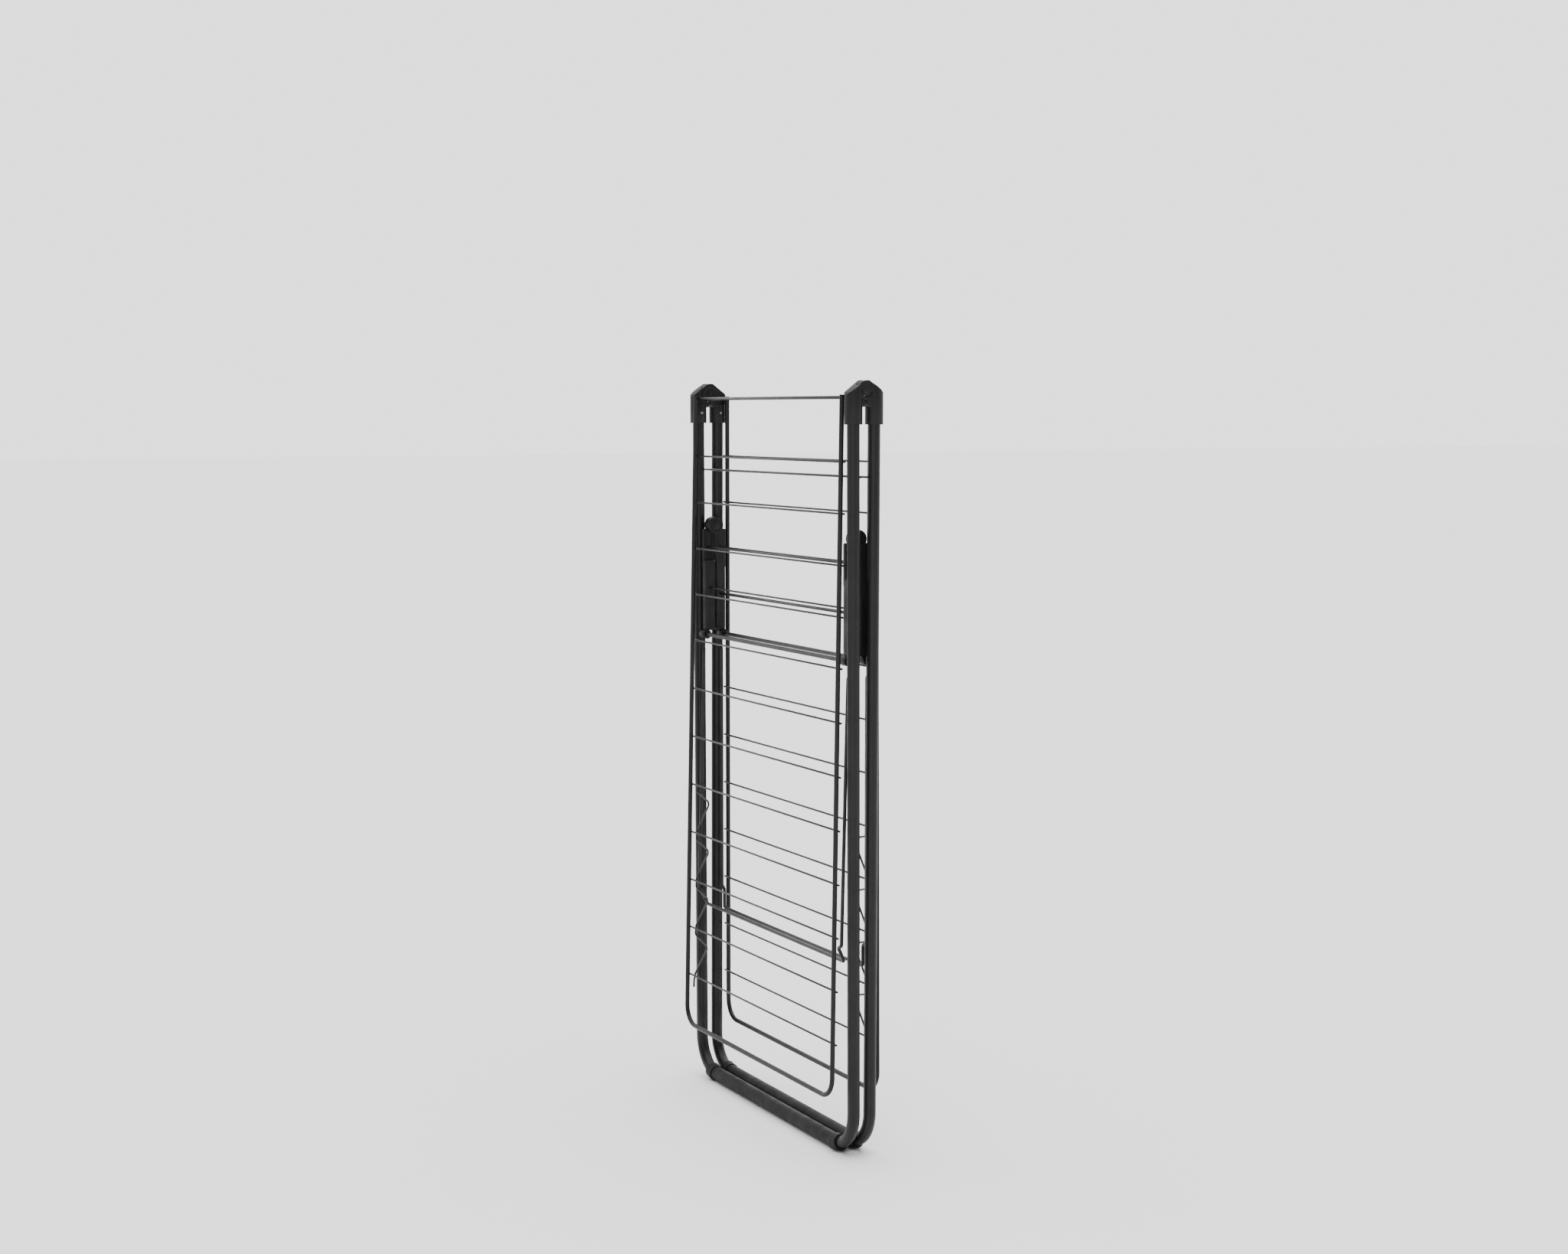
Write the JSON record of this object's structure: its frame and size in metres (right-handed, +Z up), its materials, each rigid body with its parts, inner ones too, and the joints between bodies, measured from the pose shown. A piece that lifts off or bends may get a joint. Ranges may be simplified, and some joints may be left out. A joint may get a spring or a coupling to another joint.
{
  "type": "folding clothes drying rack",
  "caption": "Free-standing folding clothes drying rack, shown folded flat: two bent-tube leg frames, two barred wings that swing out, spreader arms and wire stays.",
  "frame": {"origin": "centre of the folded rack's bounding box at floor level", "axes": "+Z up; +X towards the rack's right end, along the bars; -Y towards the front wing, +Y towards the rear wing"},
  "size_m": [0.62, 0.0952, 1.3],
  "materials": {
    "black_tube": "satin black powder coat on steel tube",
    "black_wire": "semi-gloss black coat on steel wire",
    "black_plastic": "fine-textured black moulded plastic",
    "foot_plastic": "matt black moulded plastic",
    "zinc_screw": "bright zinc plate",
    "dark_steel_pin": "dark oiled steel"
  },
  "bodies": {
    "front_leg": {"front_leg_tube": "black_tube", "front_leg_foot_sleeve": "foot_plastic", "front_leg_crossbar": "black_wire", "front_leg_arm_axle": "black_wire", "front_left_cap": "black_plastic", "front_right_cap": "black_plastic", "front_left_cap_screw": "zinc_screw", "front_right_cap_screw": "zinc_screw", "left_apex_pin": "dark_steel_pin", "right_apex_pin": "dark_steel_pin"},
    "front_arms": {"front_left_arm": "black_plastic", "front_right_arm": "black_plastic", "front_arms_upper_rod": "black_wire", "front_arms_lower_rod": "black_wire"},
    "front_wing": {"front_wing_frame": "black_tube", "front_wing_hinge_bar": "black_wire", "front_wing_bar_01": "black_wire", "front_wing_bar_02": "black_wire", "front_wing_bar_03": "black_wire", "front_wing_bar_04": "black_wire", "front_wing_bar_05": "black_wire", "front_wing_bar_06": "black_wire", "front_wing_bar_07": "black_wire", "front_wing_bar_08": "black_wire", "front_wing_bar_09": "black_wire", "front_wing_bar_10": "black_wire", "front_wing_bar_11": "black_wire", "front_wing_bar_12": "black_wire", "front_wing_zigzag": "black_wire"},
    "front_stay": {"front_stay_wire": "black_wire"},
    "rear_leg": {"rear_leg_tube": "black_tube", "rear_leg_foot_sleeve": "foot_plastic", "rear_leg_crossbar": "black_wire", "rear_leg_arm_axle": "black_wire", "rear_left_cap": "black_plastic", "rear_right_cap": "black_plastic", "rear_left_cap_screw": "zinc_screw", "rear_right_cap_screw": "zinc_screw"},
    "rear_arms": {"rear_left_arm": "black_plastic", "rear_right_arm": "black_plastic", "rear_arms_upper_rod": "black_wire", "rear_arms_lower_rod": "black_wire", "left_knuckle_pin": "dark_steel_pin", "right_knuckle_pin": "dark_steel_pin"},
    "rear_wing": {"rear_wing_frame": "black_tube", "rear_wing_hinge_bar": "black_wire", "rear_wing_bar_01": "black_wire", "rear_wing_bar_02": "black_wire", "rear_wing_bar_03": "black_wire", "rear_wing_bar_04": "black_wire", "rear_wing_bar_05": "black_wire", "rear_wing_bar_06": "black_wire", "rear_wing_bar_07": "black_wire", "rear_wing_bar_08": "black_wire", "rear_wing_bar_09": "black_wire", "rear_wing_bar_10": "black_wire", "rear_wing_bar_11": "black_wire", "rear_wing_bar_12": "black_wire", "rear_wing_zigzag": "black_wire"},
    "rear_stay": {"rear_stay_wire": "black_wire"}
  },
  "joints": [
    {"name": "leg_fold", "type": "hinge", "parent": "front_leg", "child": "rear_leg", "pos_m": [0, 0.0081, 1.2835], "axis": [1, 0, 0], "range_deg": [0, 48]},
    {"name": "front_arms_swing", "type": "hinge", "parent": "front_leg", "child": "front_arms", "pos_m": [0, -0.00993, 0.838], "axis": [-1, 0, 0], "range_deg": [0, 48]},
    {"name": "rear_arms_swing", "type": "hinge", "parent": "rear_leg", "child": "rear_arms", "pos_m": [0, 0.02613, 0.838], "axis": [1, 0, 0], "range_deg": [0, 48]},
    {"name": "front_wing_swing", "type": "hinge", "parent": "front_leg", "child": "front_wing", "pos_m": [0, -0.01685, 1.2724], "axis": [-1, 0, 0], "range_deg": [0, 65]},
    {"name": "rear_wing_swing", "type": "hinge", "parent": "rear_leg", "child": "rear_wing", "pos_m": [0, 0.03305, 1.2724], "axis": [1, 0, 0], "range_deg": [0, 65]},
    {"name": "front_stay_swing", "type": "hinge", "parent": "front_leg", "child": "front_stay", "pos_m": [0, -0.00984, 0.812], "axis": [-1, 0, 0], "range_deg": [0, 125]},
    {"name": "rear_stay_swing", "type": "hinge", "parent": "rear_leg", "child": "rear_stay", "pos_m": [0, 0.02604, 0.812], "axis": [1, 0, 0], "range_deg": [0, 125]}
  ],
  "couplings": [
    {"joint": "front_arms_swing", "follows": "leg_fold", "ratio": 0.998},
    {"joint": "rear_arms_swing", "follows": "leg_fold", "ratio": 0.998},
    {"joint": "front_stay_swing", "follows": "front_wing_swing", "ratio": 1.91},
    {"joint": "rear_stay_swing", "follows": "rear_wing_swing", "ratio": 1.87}
  ]
}
